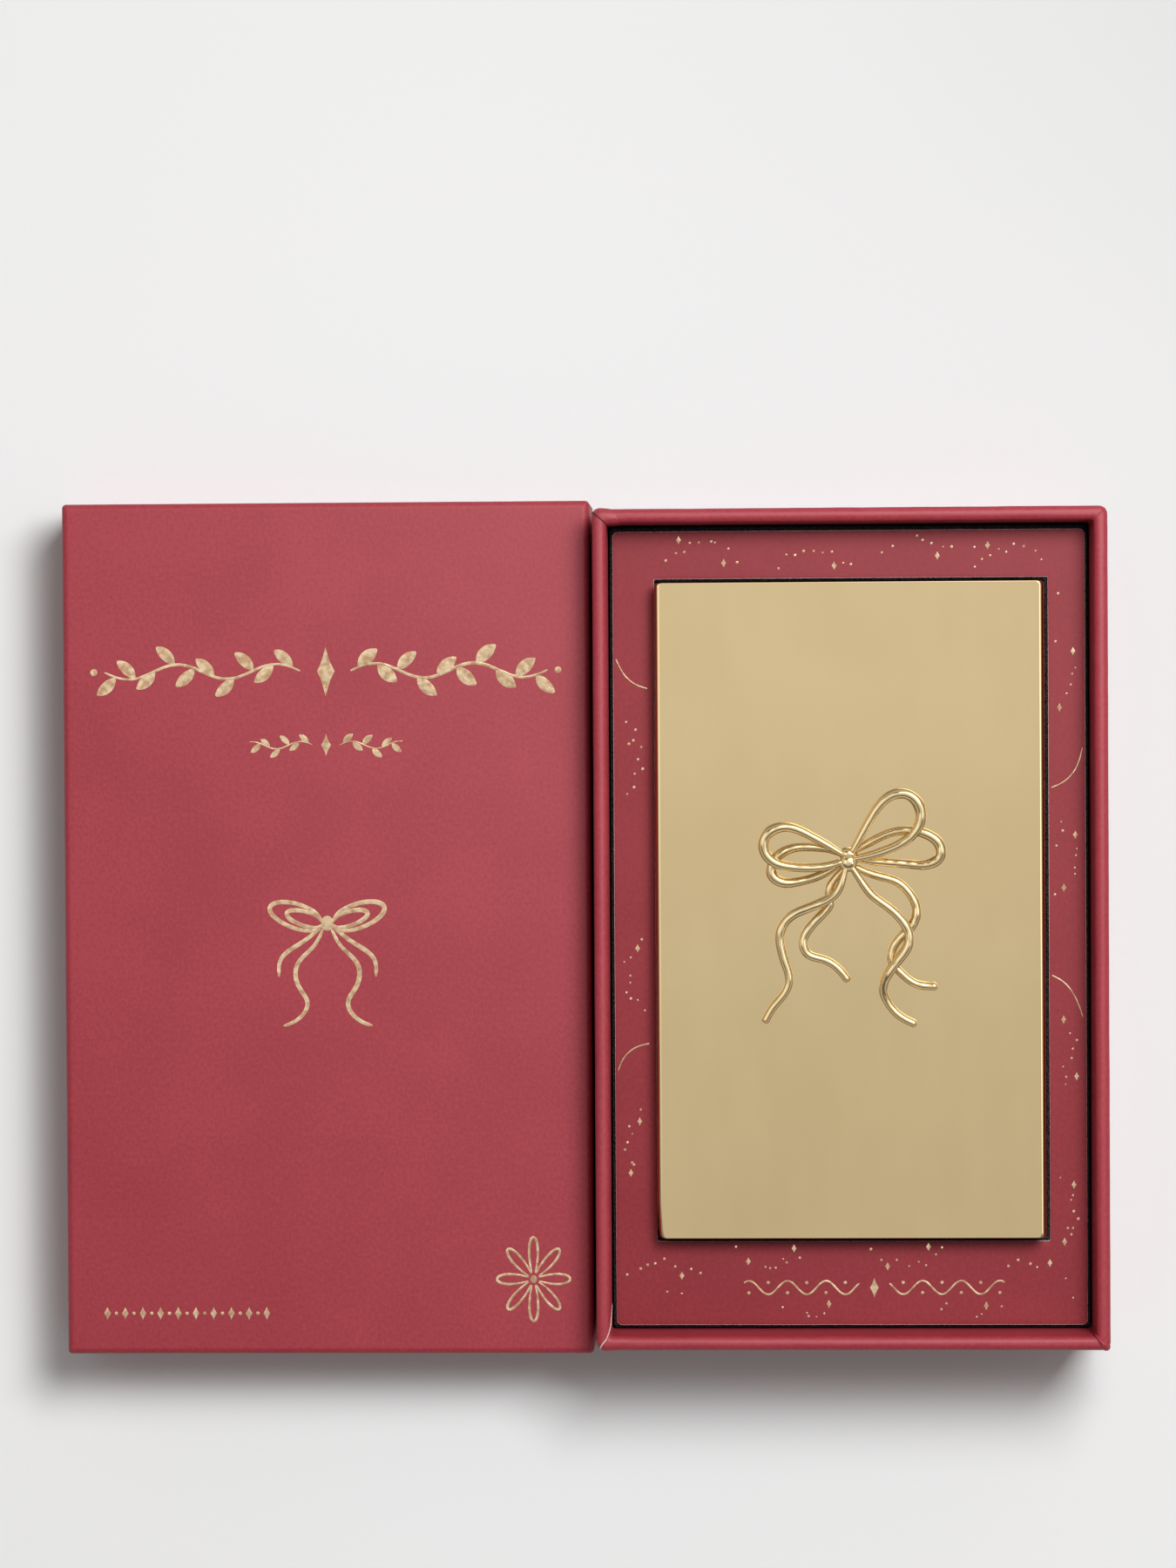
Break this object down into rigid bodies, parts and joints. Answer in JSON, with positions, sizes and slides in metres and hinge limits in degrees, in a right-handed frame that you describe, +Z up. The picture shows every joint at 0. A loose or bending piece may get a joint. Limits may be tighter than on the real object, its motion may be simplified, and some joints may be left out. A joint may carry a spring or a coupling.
{
  "type": "matchbox holder in a gift box",
  "caption": "Open-ended metal sleeve for a household matchbox, with a wire bow on top, lying in a foam and card insert in a paper-wrapped tray, with the lift-off lid beside it.",
  "frame": {"origin": "centre of the tray's underside", "axes": "+X across the tray, away from the lid that lies beside it; +Y towards the head of the box; +Z up"},
  "size_m": [0.184, 0.151, 0.0302],
  "materials": {
    "greyboard": "matte",
    "stay_paper": "matte",
    "rose_paper": "satin",
    "printed_card": "satin",
    "black_foam": "matte",
    "gold_metal": "satin"
  },
  "bodies": {
    "tray": {"tray_floor_board": "greyboard", "tray_left_board": "greyboard", "tray_right_board": "greyboard", "tray_head_board": "greyboard", "tray_foot_board": "greyboard", "tray_corner_stays": "stay_paper", "tray_wrap": "rose_paper", "tray_base_sheet": "rose_paper", "tray_floor_lining": "rose_paper"},
    "insert": {"foam_pad": "black_foam", "foam_frame": "black_foam", "insert_card": "printed_card"},
    "sleeve": {"sleeve_shell": "gold_metal", "bow_knot": "gold_metal", "bow_loop_upper_left": "gold_metal", "bow_loop_lower_left": "gold_metal", "bow_loop_upper_right": "gold_metal", "bow_loop_lower_right": "gold_metal", "bow_tail_left_outer": "gold_metal", "bow_tail_left_inner": "gold_metal", "bow_tail_right_inner": "gold_metal", "bow_tail_right_outer": "gold_metal"},
    "lid": {"lid_top_board": "greyboard", "lid_left_board": "greyboard", "lid_right_board": "greyboard", "lid_head_board": "greyboard", "lid_foot_board": "greyboard", "lid_corner_stays": "stay_paper", "lid_wrap": "rose_paper", "lid_lining": "rose_paper"}
  },
  "joints": [
    {"name": "insert_lift", "type": "slide", "parent": "tray", "child": "insert", "axis": [0, 0, 1], "range_m": [0, 0.05]},
    {"name": "sleeve_lift", "type": "slide", "parent": "insert", "child": "sleeve", "axis": [0, 0, 1], "range_m": [0, 0.05]},
    {"name": "lid_lift", "type": "slide", "parent": "tray", "child": "lid", "axis": [0, 0, 1], "range_m": [0, 0.05]}
  ]
}
